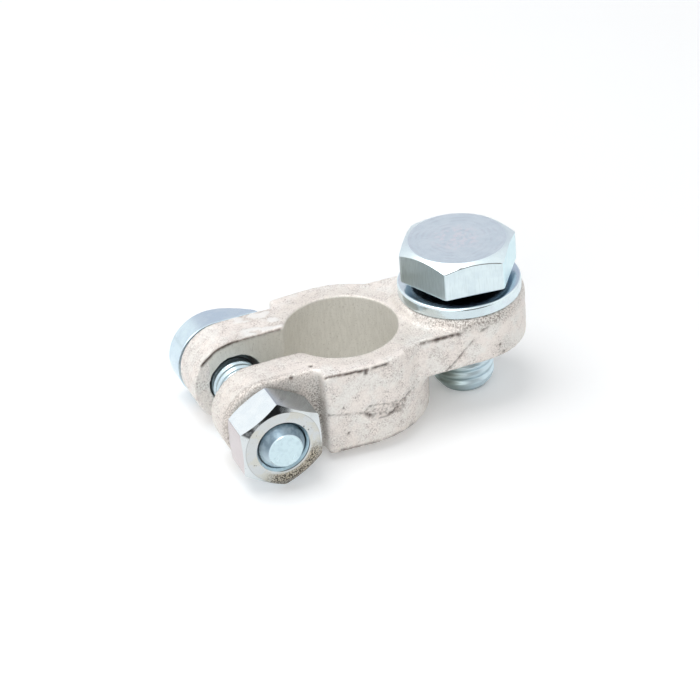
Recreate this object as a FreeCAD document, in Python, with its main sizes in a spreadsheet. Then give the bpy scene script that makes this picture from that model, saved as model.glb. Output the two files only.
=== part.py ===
"""Battery post clamp with its terminal bolt and pinch bolt, in millimetres.

The origin lies on the axis of the post bore, at the underside of the ring.
+X runs to the terminal bolt, the two pinch ears lie along -X, and +Z is up.
"""
import FreeCAD, Part
import math
import os

import Sketcher
from FreeCAD import Placement, Rotation, Vector

# Driving dimensions: alias in the sheet, value in millimetres (degrees for turns)
SIZES = {
    # ring around the battery post
    "ring_height": 14.45,
    "bore_radius": 9.15,
    "ring_wall": 4.3,
    "bore_land": 3.0,
    "bore_taper_run": 18.0,
    "shoulder_reach": 8.2,
    "shoulder_lag": 0.8,
    "shoulder_inset": 0.35,
    "shoulder_step": 3.1,
    "shoulder_fillet": 0.9,
    "shoulder_round": 0.8,
    # pinch ears and the slot between them
    "slot_width": 7.5,
    "slot_mouth_near": 2.2,
    "slot_mouth_far": 0.6,
    "ear_reach": 16.9,
    "ear_far_extra": 0.9,
    # neck and boss under the terminal bolt
    "terminal_reach": 20.73,
    "flag_margin": 0.45,
    "flag_thickness": 7.15,
    "boss_rise": 1.25,
    "boss_seat_inset": 0.4,
    "boss_slope_run": 2.3,
    "flag_foot_round": 0.9,
    "neck_fillet": 2.0,
    "casting_round": 0.7,
    # terminal bolt and its washer
    "terminal_shank_radius": 4.95,
    "terminal_shank_length": 20.2,
    "terminal_tip_chamfer": 0.9,
    "terminal_head_flats": 17.0,
    "terminal_head_height": 6.4,
    "terminal_head_turn": -5.8,
    "terminal_face_inset": 0.7,
    "terminal_face_height": 0.5,
    "terminal_top_inset": 0.65,
    "washer_radius": 10.0,
    "washer_hole_play": 0.3,
    "washer_thickness": 1.9,
    "washer_edge": 0.2,
    "washer_clearance": 0.02,
    "terminal_head_gap": 0.83,
    "thread_clearance": 0.05,
    # pinch bolt, hanging off centre in its clear hole, and its nut
    "pinch_shank_radius": 3.97,
    "pinch_hole_play": 0.53,
    "pinch_bolt_shift": 0.3,
    "pinch_bolt_drop": 0.275,
    "pinch_tip_chamfer": 1.15,
    "pinch_tip_run": 1.9,
    "pinch_end_proud": 1.3,
    "pinch_head_radius": 7.0,
    "pinch_head_play": 1.1,
    "pinch_head_corner": 1.2,
    "pinch_head_height": 4.45,
    "pinch_head_inset": 0.3,
    "pinch_head_gap": 0.45,
    "nut_flats": 13.0,
    "nut_height": 6.8,
    "nut_turn": 31.2,
    "nut_face_inset": 0.3,
    "nut_countersink": 0.48,
    "nut_gap": 0.3,
    # chamfers: rise over run on hexagons and on the pinch bolt's head, and how far cutters pass a corner
    "head_chamfer_slope": 0.577,
    "pinch_head_slope": 1.2,
    "cutter_overrun": 1.0,
}

# Sizes that follow from the driving ones
RING_RADIUS = "(Sizes.bore_radius + Sizes.ring_wall)"
BORE_MOUTH = "(Sizes.bore_radius + (Sizes.ring_height - Sizes.bore_land) / Sizes.bore_taper_run)"
SHOULDER_HALF = f"({RING_RADIUS} - Sizes.shoulder_inset)"
EAR_HALF = f"({SHOULDER_HALF} - Sizes.shoulder_step)"
EAR_FAR = f"({EAR_HALF} + Sizes.ear_far_extra)"
FLAG_RADIUS = "(Sizes.washer_radius + Sizes.flag_margin)"
FLAG_UNDERSIDE = "(Sizes.ring_height - Sizes.flag_thickness)"
BOSS_HEIGHT = "(Sizes.ring_height + Sizes.boss_rise)"
BOSS_SEAT = "(Sizes.washer_radius - Sizes.boss_seat_inset)"
BOSS_FOOT = f"({BOSS_SEAT} + Sizes.boss_slope_run)"
PINCH_X = "(-Sizes.ear_reach - Sizes.pinch_bolt_shift)"
PINCH_Z = "(Sizes.ring_height / 2 - Sizes.pinch_bolt_drop)"
PINCH_GRIP = f"({EAR_HALF} + {EAR_FAR} + Sizes.pinch_head_gap + Sizes.nut_gap + Sizes.nut_height)"
FAR_SHOULDER = "(Sizes.shoulder_reach - Sizes.shoulder_lag)"
PINCH_HEAD_SIDE = f"(-{PINCH_X} - {FAR_SHOULDER} - Sizes.shoulder_fillet - Sizes.pinch_head_play)"


def add_sheet(doc):
    """Keep the driving dimensions in a spreadsheet, one aliased cell each."""
    sheet = doc.addObject("Spreadsheet::Sheet", "Sizes")
    for row, (alias, number) in enumerate(SIZES.items(), start=1):
        sheet.set(f"A{row}", alias)
        sheet.set(f"B{row}", str(number))
        sheet.setAlias(f"B{row}", alias)
    doc.recompute()
    return sheet


def value(doc, expression):
    """Evaluate a sheet expression, for the first position of a sketch's geometry."""
    return float(doc.Sizes.evalExpression(expression))


def add_body(doc, name):
    body = doc.addObject("PartDesign::Body", name)
    body.Label = name
    return body


def plane(body, role):
    return next(item for item in body.Origin.OriginFeatures if item.Role == role)


def add_sketch(body, name, role, shift=None):
    """Add a sketch on an origin plane, moved by {axis: expression} within that plane's frame."""
    sketch = body.newObject("Sketcher::SketchObject", name)
    sketch.AttachmentSupport = (plane(body, role), [""])
    sketch.MapMode = "FlatFace"
    for axis, expression in (shift or {}).items():
        sketch.setExpression(f"AttachmentOffset.Base.{axis}", expression)
    return sketch


def constrain(sketch, name, expression, kind, *references):
    """Add a dimension whose value follows the sheet."""
    start = value(sketch.Document, expression)
    index = sketch.addConstraint(Sketcher.Constraint(kind, *references, start))
    sketch.renameConstraint(index, name)
    sketch.setExpression(f"Constraints.{name}", expression)


def relate(sketch, *constraints):
    for kind, *references in constraints:
        sketch.addConstraint(Sketcher.Constraint(kind, *references))


# Sketch references: whole edge, start, end and centre of an edge, and the two axes
START = 1
END = 2
CENTRE = 3
X_LINE = -1
Y_LINE = -2


def add_polyline(sketch, corners):
    """Draw a closed outline; each corner is a pair of expressions for its x and y."""
    doc = sketch.Document
    points = [Vector(value(doc, x), value(doc, y), 0) for x, y in corners]
    count = len(points)
    first = sketch.GeometryCount
    for i in range(count):
        sketch.addGeometry(Part.LineSegment(points[i], points[(i + 1) % count]))
    for i in range(count):
        relate(sketch, ("Coincident", first + i, END, first + (i + 1) % count, START))
    for i, (x, y) in enumerate(corners):
        constrain(sketch, f"corner{i}x", x, "DistanceX", X_LINE, START, first + i, START)
        constrain(sketch, f"corner{i}y", y, "DistanceY", X_LINE, START, first + i, START)


def add_circle(sketch, name, radius, x=None, y=None):
    """Draw a circle about the sketch's origin, or about a point given by expressions."""
    doc = sketch.Document
    centre = Vector(value(doc, x) if x else 0, value(doc, y) if y else 0, 0)
    circle = sketch.addGeometry(Part.Circle(centre, Vector(0, 0, 1), value(doc, radius)))
    constrain(sketch, f"{name}_radius", radius, "Radius", circle)
    if x:
        constrain(sketch, f"{name}_x", x, "DistanceX", X_LINE, START, circle, CENTRE)
    else:
        relate(sketch, ("PointOnObject", circle, CENTRE, Y_LINE))
    if y:
        constrain(sketch, f"{name}_y", y, "DistanceY", X_LINE, START, circle, CENTRE)
    else:
        relate(sketch, ("PointOnObject", circle, CENTRE, X_LINE))


def pad(body, name, sketch, length, midplane=False):
    feature = body.newObject("PartDesign::Pad", name)
    feature.Profile = sketch
    feature.SideType = "Symmetric" if midplane else "One side"
    feature.setExpression("Length", length)
    body.Document.recompute()
    return feature


def cut_through(body, name, sketch):
    """Cut a sketch through everything, both ways, and make sure that it took material away."""
    before = body.Shape.Volume
    feature = body.newObject("PartDesign::Pocket", name)
    feature.Profile = sketch
    feature.Type = "ThroughAll"
    feature.SideType = "Symmetric"
    body.Document.recompute()
    check_removed(body, name, before)
    return feature


def revolve(body, kind, name, sketch):
    """Turn a profile in (radius, height) about the sketch's vertical axis."""
    before = body.Shape.Volume if kind == "Groove" else 0
    feature = body.newObject(f"PartDesign::{kind}", name)
    feature.Profile = sketch
    feature.ReferenceAxis = (sketch, ["V_Axis"])
    feature.Angle = 360
    body.Document.recompute()
    if kind == "Groove":
        check_removed(body, name, before)
    return feature


def check_removed(body, name, before):
    if body.Shape.Volume >= before:
        raise RuntimeError(f"{name} in {body.Label} cuts nothing")


def round_edges(body, name, radius, wanted):
    """Round the edges of the body for which wanted(edge) is true."""
    base = body.Tip
    edges = [f"Edge{i}" for i, edge in enumerate(base.Shape.Edges, start=1) if wanted(edge)]
    if not edges:
        raise RuntimeError(f"{name} in {body.Label} finds no edges")
    feature = body.newObject("PartDesign::Fillet", name)
    feature.Base = (base, edges)
    feature.setExpression("Radius", radius)
    body.Document.recompute()
    return feature


# How close to a computed place an edge has to lie to be picked
NEAR = 0.05


def middle(edge):
    return edge.valueAt((edge.FirstParameter + edge.LastParameter) / 2)


def uprights_at(*places):
    """Match the upright edges that stand at the given pairs of x and y."""
    def wanted(edge):
        ends = [vertex.Point for vertex in edge.Vertexes]
        if len(ends) < 2 or abs(ends[0].z - ends[1].z) < NEAR:
            return False
        spot = middle(edge)
        return any(abs(spot.x - x) < NEAR and abs(spot.y - y) < NEAR for x, y in places)

    return wanted


def draw_ring(body):
    """Ring outline: a round front whose flanks run back, tangent to it, to the two shoulders."""
    doc = body.Document
    radius = value(doc, RING_RADIUS)
    half = value(doc, SHOULDER_HALF)

    def flank(reach):
        turn = math.atan2(half, -reach) - math.acos(radius / math.hypot(half, reach))
        return turn, Vector(radius * math.cos(turn), radius * math.sin(turn), 0), Vector(-reach, half, 0)

    far_turn, far_touch, far_corner = flank(value(doc, FAR_SHOULDER))
    near_turn, near_touch, near_corner = flank(value(doc, "Sizes.shoulder_reach"))
    for point in (near_touch, near_corner):
        point.y = -point.y
    sketch = add_sketch(body, "ring_outline", "XY_Plane")
    circle = Part.Circle(Vector(0, 0, 0), Vector(0, 0, 1), radius)
    arc = sketch.addGeometry(Part.ArcOfCircle(circle, -near_turn, far_turn))
    far = sketch.addGeometry(Part.LineSegment(far_touch, far_corner))
    back = sketch.addGeometry(Part.LineSegment(far_corner, near_corner))
    near = sketch.addGeometry(Part.LineSegment(near_corner, near_touch))
    relate(
        sketch,
        ("Coincident", arc, CENTRE, X_LINE, START),
        ("Tangent", arc, END, far, START),
        ("Coincident", far, END, back, START),
        ("Coincident", back, END, near, START),
        ("Tangent", near, END, arc, START),
    )
    constrain(sketch, "ring_radius", RING_RADIUS, "Radius", arc)
    constrain(sketch, "far_reach", FAR_SHOULDER, "DistanceX", far, END, X_LINE, START)
    constrain(sketch, "far_half", SHOULDER_HALF, "DistanceY", X_LINE, START, far, END)
    constrain(sketch, "near_reach", "Sizes.shoulder_reach", "DistanceX", near, START, X_LINE, START)
    constrain(sketch, "near_half", SHOULDER_HALF, "DistanceY", near, START, X_LINE, START)
    return sketch


def draw_ear_side(body):
    """Side view of the ears: as high as the ring, with a half-round end; the far ear is the thicker one."""
    doc = body.Document
    top = value(doc, "Sizes.ring_height")
    reach = value(doc, "Sizes.ear_reach")
    sketch = add_sketch(body, "ear_side", "XZ_Plane", {"z": "-Sizes.ear_far_extra / 2"})
    upper = sketch.addGeometry(Part.LineSegment(Vector(0, top, 0), Vector(-reach, top, 0)))
    circle = Part.Circle(Vector(-reach, top / 2, 0), Vector(0, 0, 1), top / 2)
    end = sketch.addGeometry(Part.ArcOfCircle(circle, math.pi / 2, 3 * math.pi / 2))
    lower = sketch.addGeometry(Part.LineSegment(Vector(-reach, 0, 0), Vector(0, 0, 0)))
    root = sketch.addGeometry(Part.LineSegment(Vector(0, 0, 0), Vector(0, top, 0)))
    relate(
        sketch,
        ("Tangent", upper, END, end, START),
        ("Tangent", end, END, lower, START),
        ("Coincident", lower, END, root, START),
        ("Coincident", root, END, upper, START),
        ("Coincident", root, START, X_LINE, START),
        ("Horizontal", upper),
        ("Horizontal", lower),
        ("Vertical", root),
    )
    constrain(sketch, "reach", "Sizes.ear_reach", "DistanceX", end, CENTRE, X_LINE, START)
    constrain(sketch, "height", "Sizes.ring_height", "DistanceY", root, START, root, END)
    return sketch


def draw_flag(body):
    """Plan of neck and boss: parallel sides from the bore axis to a half-round end."""
    doc = body.Document
    reach = value(doc, "Sizes.terminal_reach")
    radius = value(doc, FLAG_RADIUS)
    sketch = add_sketch(body, "flag_plan", "XY_Plane", {"z": FLAG_UNDERSIDE})
    circle = Part.Circle(Vector(reach, 0, 0), Vector(0, 0, 1), radius)
    end = sketch.addGeometry(Part.ArcOfCircle(circle, -math.pi / 2, math.pi / 2))
    far = sketch.addGeometry(Part.LineSegment(Vector(reach, radius, 0), Vector(0, radius, 0)))
    root = sketch.addGeometry(Part.LineSegment(Vector(0, radius, 0), Vector(0, -radius, 0)))
    near = sketch.addGeometry(Part.LineSegment(Vector(0, -radius, 0), Vector(reach, -radius, 0)))
    relate(
        sketch,
        ("Tangent", end, END, far, START),
        ("Coincident", far, END, root, START),
        ("Coincident", root, END, near, START),
        ("Tangent", near, END, end, START),
        ("Horizontal", far),
        ("Horizontal", near),
        ("Vertical", root),
        ("PointOnObject", root, START, Y_LINE),
        ("PointOnObject", end, CENTRE, X_LINE),
    )
    constrain(sketch, "reach", "Sizes.terminal_reach", "DistanceX", X_LINE, START, end, CENTRE)
    constrain(sketch, "flag_radius", FLAG_RADIUS, "Radius", end)
    return sketch


def draw_boss_slope(body):
    """Profile cut away around the boss: an S-curve from the washer seat down to the neck's top."""
    doc = body.Document
    seat = value(doc, BOSS_SEAT)
    foot = value(doc, BOSS_FOOT)
    top = value(doc, BOSS_HEIGHT)
    low = value(doc, "Sizes.ring_height")
    run = foot - seat
    rise = top - low
    bend = (run * run + rise * rise) / (4 * rise)
    sweep = 2 * math.atan2(rise, run)
    outer_radius = f"Sizes.terminal_reach + {RING_RADIUS}"
    outer = value(doc, outer_radius)
    above = 2 * top - low
    up = Vector(0, 0, 1)
    sketch = add_sketch(body, "boss_slope", "XZ_Plane", {"x": "Sizes.terminal_reach"})
    crest = Part.Circle(Vector(seat, top - bend, 0), up, bend)
    trough = Part.Circle(Vector(foot, low + bend, 0), up, bend)
    over = sketch.addGeometry(Part.ArcOfCircle(crest, math.pi / 2 - sweep, math.pi / 2))
    under = sketch.addGeometry(Part.ArcOfCircle(trough, 3 * math.pi / 2 - sweep, 3 * math.pi / 2))
    floor = sketch.addGeometry(Part.LineSegment(Vector(foot, low, 0), Vector(outer, low, 0)))
    side = sketch.addGeometry(Part.LineSegment(Vector(outer, low, 0), Vector(outer, above, 0)))
    lid = sketch.addGeometry(Part.LineSegment(Vector(outer, above, 0), Vector(seat, above, 0)))
    wall = sketch.addGeometry(Part.LineSegment(Vector(seat, above, 0), Vector(seat, top, 0)))
    relate(
        sketch,
        ("Tangent", over, START, under, START),
        ("Equal", over, under),
        ("Vertical", over, CENTRE, over, END),
        ("Vertical", under, CENTRE, under, END),
        ("Coincident", under, END, floor, START),
        ("Coincident", floor, END, side, START),
        ("Coincident", side, END, lid, START),
        ("Coincident", lid, END, wall, START),
        ("Coincident", wall, END, over, END),
        ("Horizontal", floor),
        ("Vertical", side),
        ("Horizontal", lid),
        ("Vertical", wall),
    )
    constrain(sketch, "seat", BOSS_SEAT, "DistanceX", X_LINE, START, over, END)
    constrain(sketch, "top", BOSS_HEIGHT, "DistanceY", X_LINE, START, over, END)
    constrain(sketch, "foot", BOSS_FOOT, "DistanceX", X_LINE, START, under, END)
    constrain(sketch, "low", "Sizes.ring_height", "DistanceY", X_LINE, START, under, END)
    constrain(sketch, "outer", outer_radius, "DistanceX", X_LINE, START, side, START)
    constrain(sketch, "above", "Sizes.boss_rise", "DistanceY", wall, END, wall, START)
    return sketch


def round_flag_foot(body):
    """Round the flag's lower edge, before the ring swallows its root."""
    under = value(body.Document, FLAG_UNDERSIDE)

    def wanted(edge):
        spot = middle(edge)
        return abs(spot.z - under) < NEAR and spot.x > NEAR

    return round_edges(body, "flag_foot", "Sizes.flag_foot_round", wanted)


def round_plan_corners(body):
    """Round the upright edges: neck roots, shoulders and the slot's two mouth corners."""
    doc = body.Document
    flag = value(doc, FLAG_RADIUS)
    root = math.sqrt(value(doc, RING_RADIUS) ** 2 - flag ** 2)
    half = value(doc, SHOULDER_HALF)
    near_x = -value(doc, "Sizes.shoulder_reach")
    far_x = -value(doc, FAR_SHOULDER)

    def at_back(y):
        return near_x + (far_x - near_x) * (y + half) / (2 * half), y

    near_root = at_back(-value(doc, EAR_HALF))
    far_root = at_back(value(doc, EAR_FAR))
    round_edges(body, "neck_roots", "Sizes.neck_fillet", uprights_at((root, flag), (root, -flag)))
    round_edges(body, "shoulder_roots", "Sizes.shoulder_fillet", uprights_at(near_root, far_root))
    round_edges(body, "shoulder_corners", "Sizes.shoulder_round", uprights_at(at_back(-half), at_back(half)))


def round_rim(body):
    """Soften the casting's outer rim: from the boss the round runs on along ring, ears and underside."""
    doc = body.Document
    top = value(doc, "Sizes.ring_height")
    reach = value(doc, "Sizes.terminal_reach")
    radius = value(doc, FLAG_RADIUS)

    def wanted(edge):
        spot = middle(edge)
        from_side = math.hypot(max(spot.x - reach, 0), spot.y) - radius
        return abs(from_side) < NEAR and spot.z > top + NEAR

    return round_edges(body, "rim", "Sizes.casting_round", wanted)


def cut_bore(body):
    """Post bore: a straight land at the top, then a taper that opens to BORE_MOUTH at the underside."""
    sketch = add_sketch(body, "bore_profile", "XZ_Plane")
    add_polyline(sketch, [
        ("0", "0"),
        (BORE_MOUTH, "0"),
        ("Sizes.bore_radius", "Sizes.ring_height - Sizes.bore_land"),
        ("Sizes.bore_radius", "Sizes.ring_height"),
        ("0", "Sizes.ring_height"),
    ])
    return revolve(body, "Groove", "post_bore", sketch)


def cut_slot(body):
    """Slot between the ears, from the bore axis out past the ears' round ends."""
    half = "Sizes.slot_width / 2"
    end = "-Sizes.ear_reach - Sizes.ring_height"
    sketch = add_sketch(body, "slot_plan", "XY_Plane")
    add_polyline(sketch, [
        ("0", f"-{half}"),
        ("0", half),
        (end, half),
        (end, f"-{half}"),
    ])
    return cut_through(body, "slot", sketch)


def cut_screw_holes(body):
    """Clear hole across the ears, and the tapped hole down through the boss."""
    across = add_sketch(body, "pinch_hole_side", "XZ_Plane")
    clear = "Sizes.pinch_shank_radius + Sizes.pinch_hole_play"
    add_circle(across, "hole", clear, "-Sizes.ear_reach", "Sizes.ring_height / 2")
    cut_through(body, "pinch_hole", across)
    down = add_sketch(body, "terminal_hole_plan", "XY_Plane")
    tapped = "Sizes.terminal_shank_radius + Sizes.thread_clearance"
    add_circle(down, "hole", tapped, "Sizes.terminal_reach")
    cut_through(body, "terminal_hole", down)


def round_slot_mouth(body):
    """The slot meets the bore in a full round on the near side and a tight one on the far side."""
    doc = body.Document
    half = value(doc, "Sizes.slot_width / 2")
    at_land = -math.sqrt(value(doc, "Sizes.bore_radius") ** 2 - half ** 2)
    at_underside = -math.sqrt(value(doc, BORE_MOUTH) ** 2 - half ** 2)

    def mouth(side):
        def on_corner(point):
            on_wall = abs(point.y - side * half) < NEAR
            return on_wall and at_underside - NEAR < point.x < at_land + NEAR

        def wanted(edge):
            ends = [vertex.Point for vertex in edge.Vertexes]
            upright = len(ends) == 2 and abs(ends[0].z - ends[1].z) > NEAR
            return upright and all(on_corner(end) for end in ends)

        return wanted

    round_edges(body, "mouth_near", "Sizes.slot_mouth_near", mouth(-1))
    round_edges(body, "mouth_far", "Sizes.slot_mouth_far", mouth(1))


def make_clamp_body(doc):
    body = add_body(doc, "clamp_body")
    pad(body, "flag", draw_flag(body), f"{BOSS_HEIGHT} - {FLAG_UNDERSIDE}")
    round_flag_foot(body)
    pad(body, "ring", draw_ring(body), "Sizes.ring_height")
    pad(body, "ears", draw_ear_side(body), f"{EAR_HALF} + {EAR_FAR}", midplane=True)
    revolve(body, "Groove", "boss_lowering", draw_boss_slope(body))
    round_plan_corners(body)
    round_rim(body)
    cut_bore(body)
    cut_slot(body)
    cut_screw_holes(body)
    round_slot_mouth(body)
    return body


def add_prism(body, name, flats, height, turn, base=None):
    """Hexagonal prism with a corner along X, turned about its axis."""
    prism = body.newObject("PartDesign::AdditivePrism", name)
    prism.AttachmentSupport = (plane(body, "XY_Plane"), [""])
    prism.MapMode = "FlatFace"
    prism.Polygon = 6
    prism.setExpression("Circumradius", f"{flats} / 2 / cos(30 deg)")
    prism.setExpression("Height", height)
    angle = value(body.Document, turn)
    prism.AttachmentOffset = Placement(Vector(0, 0, 0), Rotation(Vector(0, 0, 1), angle))
    prism.setExpression("AttachmentOffset.Rotation.Angle", turn)
    if base:
        prism.setExpression("AttachmentOffset.Base.z", base)
    body.Document.recompute()
    return prism


def chamfer_outline(corner, face, level, sign, slope):
    """Triangle outside a cone that starts at radius face on the given level and falls by sign."""
    reach = f"{corner} + Sizes.cutter_overrun"
    drop = f"({reach} - {face}) * {slope}"
    return [
        (face, level),
        (reach, level),
        (reach, f"{level} {sign} {drop}"),
    ]


def chamfer_ring(body, name, corner, face, level, sign, slope="Sizes.head_chamfer_slope"):
    sketch = add_sketch(body, f"{name}_profile", "XZ_Plane")
    add_polyline(sketch, chamfer_outline(corner, face, level, sign, slope))
    return revolve(body, "Groove", name, sketch)


def make_terminal_bolt(doc):
    """Hexagon bolt: the shank hangs below the bearing face, which lies at the body's own z = 0."""
    body = add_body(doc, "terminal_bolt")
    shank = add_sketch(body, "shank_profile", "XZ_Plane")
    radius = "Sizes.terminal_shank_radius"
    tip = "Sizes.terminal_tip_chamfer"
    flats = "Sizes.terminal_head_flats"
    face = f"({flats} / 2 - Sizes.terminal_face_inset)"
    add_polyline(shank, [
        ("0", "Sizes.terminal_face_height"),
        ("0", "-Sizes.terminal_shank_length"),
        (f"{radius} - {tip}", "-Sizes.terminal_shank_length"),
        (radius, f"-Sizes.terminal_shank_length + {tip}"),
        (radius, "0"),
        (face, "0"),
        (face, "Sizes.terminal_face_height"),
    ])
    revolve(body, "Revolution", "shank", shank)
    height = "Sizes.terminal_head_height - Sizes.terminal_face_height"
    add_prism(body, "head", flats, height, "Sizes.terminal_head_turn", "Sizes.terminal_face_height")
    corner = f"{flats} / 2 / cos(30 deg)"
    top = f"({flats} / 2 - Sizes.terminal_top_inset)"
    chamfer_ring(body, "head_chamfer", corner, top, "Sizes.terminal_head_height", "-")
    body.setExpression("Placement.Base.x", "Sizes.terminal_reach")
    seat = f"{BOSS_HEIGHT} + Sizes.washer_clearance + Sizes.washer_thickness"
    body.setExpression("Placement.Base.z", f"{seat} + Sizes.terminal_head_gap")
    return body


def make_terminal_washer(doc):
    """Flat washer that lies on the boss."""
    body = add_body(doc, "terminal_washer")
    profile = add_sketch(body, "washer_profile", "XZ_Plane")
    hole = "Sizes.terminal_shank_radius + Sizes.washer_hole_play"
    edge = "Sizes.washer_edge"
    add_polyline(profile, [
        (hole, "0"),
        ("Sizes.washer_radius", "0"),
        ("Sizes.washer_radius", f"Sizes.washer_thickness - {edge}"),
        (f"Sizes.washer_radius - {edge}", "Sizes.washer_thickness"),
        (hole, "Sizes.washer_thickness"),
    ])
    revolve(body, "Revolution", "ring", profile)
    body.setExpression("Placement.Base.x", "Sizes.terminal_reach")
    body.setExpression("Placement.Base.z", f"{BOSS_HEIGHT} + Sizes.washer_clearance")
    return body


def draw_pinch_head(body):
    """Round head with one straight side, set off from the far shoulder, which keeps the bolt from turning."""
    doc = body.Document
    radius = value(doc, "Sizes.pinch_head_radius")
    side = value(doc, PINCH_HEAD_SIDE)
    bend = value(doc, "Sizes.pinch_head_corner")
    up = Vector(0, 0, 1)
    sketch = add_sketch(body, "head_outline", "XY_Plane")
    round_end = Part.Circle(Vector(0, 0, 0), up, radius)
    first_corner = Part.Circle(Vector(side - bend, -radius + bend, 0), up, bend)
    second_corner = Part.Circle(Vector(side - bend, radius - bend, 0), up, bend)
    half_turn = math.pi
    quarter = math.pi / 2
    end = sketch.addGeometry(Part.ArcOfCircle(round_end, quarter, half_turn + quarter))
    lower = sketch.addGeometry(Part.LineSegment(Vector(0, -radius, 0), Vector(side - bend, -radius, 0)))
    turn_up = sketch.addGeometry(Part.ArcOfCircle(first_corner, half_turn + quarter, 2 * half_turn))
    flat = sketch.addGeometry(Part.LineSegment(Vector(side, bend - radius, 0), Vector(side, radius - bend, 0)))
    turn_back = sketch.addGeometry(Part.ArcOfCircle(second_corner, 0, quarter))
    upper = sketch.addGeometry(Part.LineSegment(Vector(side - bend, radius, 0), Vector(0, radius, 0)))
    relate(
        sketch,
        ("Coincident", end, CENTRE, X_LINE, START),
        ("Tangent", end, END, lower, START),
        ("Tangent", lower, END, turn_up, START),
        ("Tangent", turn_up, END, flat, START),
        ("Tangent", flat, END, turn_back, START),
        ("Tangent", turn_back, END, upper, START),
        ("Tangent", upper, END, end, START),
        ("Equal", turn_up, turn_back),
        ("Horizontal", lower),
        ("Horizontal", upper),
    )
    constrain(sketch, "radius", "Sizes.pinch_head_radius", "Radius", end)
    constrain(sketch, "corner", "Sizes.pinch_head_corner", "Radius", turn_back)
    constrain(sketch, "side", PINCH_HEAD_SIDE, "DistanceX", X_LINE, START, flat, START)
    return sketch


def make_pinch_bolt(doc):
    """Bolt across the ears, held by its flat-sided head; the head's inner face lies at the body's own z = 0."""
    body = add_body(doc, "pinch_bolt")
    shank = add_sketch(body, "shank_profile", "XZ_Plane")
    radius = "Sizes.pinch_shank_radius"
    end = f"-({PINCH_GRIP} + Sizes.pinch_end_proud)"
    add_polyline(shank, [
        ("0", "Sizes.pinch_head_height / 2"),
        ("0", end),
        (f"{radius} - Sizes.pinch_tip_chamfer", end),
        (radius, f"{end} + Sizes.pinch_tip_run"),
        (radius, "Sizes.pinch_head_height / 2"),
    ])
    revolve(body, "Revolution", "shank", shank)
    height = "Sizes.pinch_head_height"
    pad(body, "head", draw_pinch_head(body), height)
    corner = f"(Sizes.pinch_head_radius + {PINCH_HEAD_SIDE})"
    face = "(Sizes.pinch_head_radius - Sizes.pinch_head_inset)"
    chamfer_ring(body, "head_chamfer", corner, face, height, "-", "Sizes.pinch_head_slope")
    body.Placement = Placement(Vector(0, 0, 0), Rotation(Vector(1, 0, 0), -90))
    body.setExpression("Placement.Base.x", PINCH_X)
    body.setExpression("Placement.Base.y", f"{EAR_FAR} + Sizes.pinch_head_gap")
    body.setExpression("Placement.Base.z", PINCH_Z)
    return body


def make_pinch_nut(doc):
    """Hexagon nut on the near ear; its inner face lies at the body's own z = 0."""
    body = add_body(doc, "pinch_nut")
    height = "Sizes.nut_height"
    flats = "Sizes.nut_flats"
    add_prism(body, "hexagon", flats, height, "Sizes.nut_turn")
    corner = f"{flats} / 2 / cos(30 deg)"
    face = f"({flats} / 2 - Sizes.nut_face_inset)"
    chamfer_ring(body, "outer_chamfer", corner, face, height, "-")
    chamfer_ring(body, "inner_chamfer", corner, face, "0", "+")
    bore = "Sizes.pinch_shank_radius + Sizes.thread_clearance"
    countersink = "Sizes.nut_countersink"
    hole = add_sketch(body, "hole_profile", "XZ_Plane")
    add_polyline(hole, [
        ("0", "0"),
        (f"{bore} + {countersink}", "0"),
        (bore, countersink),
        (bore, f"{height} - {countersink}"),
        (f"{bore} + {countersink}", height),
        ("0", height),
    ])
    revolve(body, "Groove", "hole", hole)
    body.Placement = Placement(Vector(0, 0, 0), Rotation(Vector(1, 0, 0), 90))
    body.setExpression("Placement.Base.x", PINCH_X)
    body.setExpression("Placement.Base.y", f"-{EAR_HALF} - Sizes.nut_gap")
    body.setExpression("Placement.Base.z", PINCH_Z)
    return body


def check(doc, bodies):
    """Stop before anything is written if an object failed or a shape is unsound."""
    for item in doc.Objects:
        if "Invalid" in item.State or "Error" in item.State:
            raise RuntimeError(f"{item.Name} failed: {item.State}")
    for body in bodies:
        if body.Shape.isNull() or not body.Shape.isValid() or len(body.Shape.Solids) != 1:
            raise RuntimeError(f"{body.Label} is not one sound solid")


def main():
    doc = FreeCAD.newDocument("battery_clamp")
    add_sheet(doc)
    bodies = [
        make_clamp_body(doc),
        make_terminal_washer(doc),
        make_terminal_bolt(doc),
        make_pinch_bolt(doc),
        make_pinch_nut(doc),
    ]
    doc.recompute()
    check(doc, bodies)
    os.makedirs("parts", exist_ok=True)
    for body in bodies:
        body.Shape.exportStep(f"parts/{body.Label}.step")
        print(body.Label, round(body.Shape.Volume, 1))


main()
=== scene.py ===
"""Looks of a battery terminal clamp: rough casting, zinc-plated fasteners, floor, light and camera.

Everything is in metres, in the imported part's frame. Shapes are worked out in millimetres and scaled by MM.
"""
import math

import bmesh
import bpy
import numpy as np
from mathutils import Matrix, Vector, noise


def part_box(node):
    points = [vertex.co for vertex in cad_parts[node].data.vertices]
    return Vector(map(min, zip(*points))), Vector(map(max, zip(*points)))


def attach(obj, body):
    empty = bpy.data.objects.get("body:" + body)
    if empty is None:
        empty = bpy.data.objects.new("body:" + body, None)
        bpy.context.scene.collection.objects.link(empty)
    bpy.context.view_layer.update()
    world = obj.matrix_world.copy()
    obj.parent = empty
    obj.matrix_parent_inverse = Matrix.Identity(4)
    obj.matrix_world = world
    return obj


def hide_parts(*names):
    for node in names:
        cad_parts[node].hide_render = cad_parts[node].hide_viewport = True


MM = 0.001

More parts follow.
